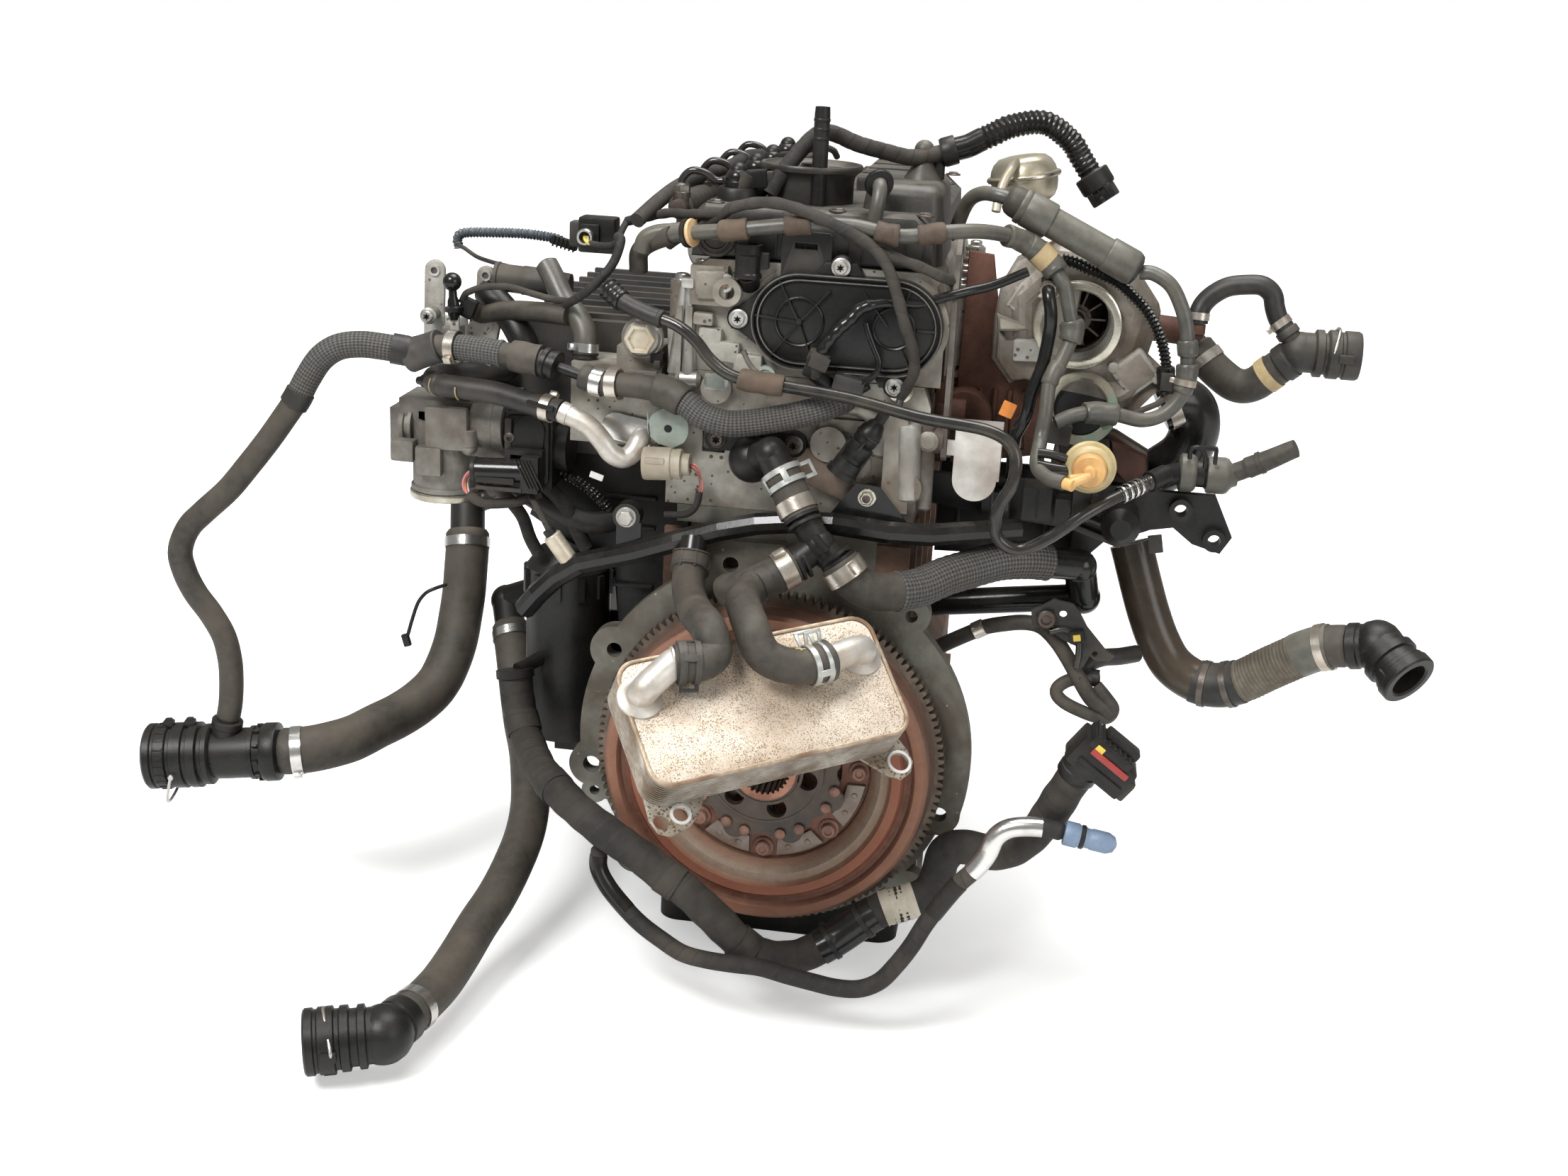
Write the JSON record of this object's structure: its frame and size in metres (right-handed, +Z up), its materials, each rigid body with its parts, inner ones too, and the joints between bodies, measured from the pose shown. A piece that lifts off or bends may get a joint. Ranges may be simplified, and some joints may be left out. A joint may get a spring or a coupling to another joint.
{
  "type": "car engine",
  "caption": "Transverse turbo-diesel car engine with flywheel, oil cooler, turbocharger, intake, hoses and wiring, standing on its sump.",
  "frame": {"origin": "on the crank axis, in the plane of the gearbox flange of the crankcase", "axes": "+X across the car to the turbo side, +Y along the crank from the gearbox end to the timing end, +Z up"},
  "size_m": [1.0456, 0.76, 0.7109],
  "materials": {
    "rusty_iron": "rough, rust-brown",
    "raw_alloy": "as cast, dull and dirty",
    "cover_plastic": "moulded black",
    "rust_orange": "light rust",
    "steel": "worn bright",
    "rubber": "dull, dusty",
    "gloss_plastic": "smooth black",
    "tape": "wound cloth tape",
    "cooler_alloy": "pale, speckled",
    "gold_zinc": "pale gold passivated",
    "shield": "bright pressed sheet",
    "valve_orange": "orange-yellow",
    "black_steel": "black, oiled"
  },
  "bodies": {
    "engine": {"cylinder_block": "rusty_iron", "upper_sump": "raw_alloy", "oil_pan": "cover_plastic", "cylinder_head": "raw_alloy", "cam_housing": "raw_alloy", "rocker_cover": "cover_plastic", "end_cover": "cover_plastic", "timing_cover": "cover_plastic", "intake_manifold": "raw_alloy", "throttle_body": "raw_alloy", "throttle_motor": "cover_plastic", "turbo_manifold": "rust_orange", "bearing_housing": "rusty_iron", "compressor_housing": "raw_alloy", "vacuum_can": "gold_zinc", "heat_shield": "shield", "lifting_bracket": "steel", "charge_pipe": "gloss_plastic", "resonator": "rubber", "fuel_rail": "steel", "injectors": "cover_plastic", "filter_housing": "cover_plastic", "water_outlet": "cover_plastic", "coolant_pipe": "gloss_plastic", "coolant_tee": "cover_plastic", "oil_cooler": "cooler_alloy", "cooler_hose_left": "rubber", "cooler_hose_right": "rubber", "outlet_hose": "rubber", "braided_hose": "rubber", "vacuum_pipe": "gloss_plastic", "breather_hose": "rubber", "head_hoses": "rubber", "vacuum_valves": "valve_orange", "solenoid_rack": "cover_plastic", "connectors": "cover_plastic", "clamps": "steel", "bolts": "steel", "upper_hose": "rubber", "upper_hose_tee": "cover_plastic", "return_hose": "rubber", "lower_hose": "rubber", "lower_hose_elbow": "cover_plastic", "charge_hose": "rubber", "charge_hose_elbow": "cover_plastic", "heater_hose": "rubber", "heater_connector": "cover_plastic", "main_loom": "tape", "branch_cable": "tape", "conduit": "gloss_plastic"},
    "crank": {"crankshaft": "steel", "flywheel": "rust_orange", "ring_gear": "steel", "flywheel_cover": "steel", "crank_pulley": "black_steel"},
    "hub": {"flywheel_hub": "black_steel"},
    "rotor": {"turbo_rotor": "steel"},
    "flap": {"throttle_flap": "steel"},
    "vane_rod": {"vane_rod": "steel"},
    "vane_lever": {"vane_lever": "steel"}
  },
  "joints": [
    {"name": "crank_spin", "type": "hinge", "parent": "engine", "child": "crank", "pos_m": [0, 0, 0], "axis": [0, 1, 0], "continuous": true},
    {"name": "hub_twist", "type": "hinge", "parent": "crank", "child": "hub", "pos_m": [0, 0, 0], "axis": [0, 1, 0], "range_deg": [-30, 30], "stiffness_Nm_per_rad": 80},
    {"name": "turbo_spin", "type": "hinge", "parent": "engine", "child": "rotor", "pos_m": [0.211, 0.15, 0.35], "axis": [0, 1, 0], "continuous": true},
    {"name": "throttle_turn", "type": "hinge", "parent": "engine", "child": "flap", "pos_m": [-0.292, 0.062, 0.206], "axis": [1, 0, 0], "range_deg": [0, 80], "stiffness_Nm_per_rad": 0.4},
    {"name": "vane_slide", "type": "slide", "parent": "engine", "child": "vane_rod", "axis": [-0.1961, 0, 0.9806], "range_m": [0, 0.009], "stiffness_N_per_m": 2000},
    {"name": "vane_turn", "type": "hinge", "parent": "engine", "child": "vane_lever", "pos_m": [0.192, 0.164, 0.383], "axis": [0, 1, 0], "range_deg": [0, 27]}
  ],
  "couplings": [
    {"joint": "vane_turn", "follows": "vane_slide", "rad_per_m": 52}
  ]
}
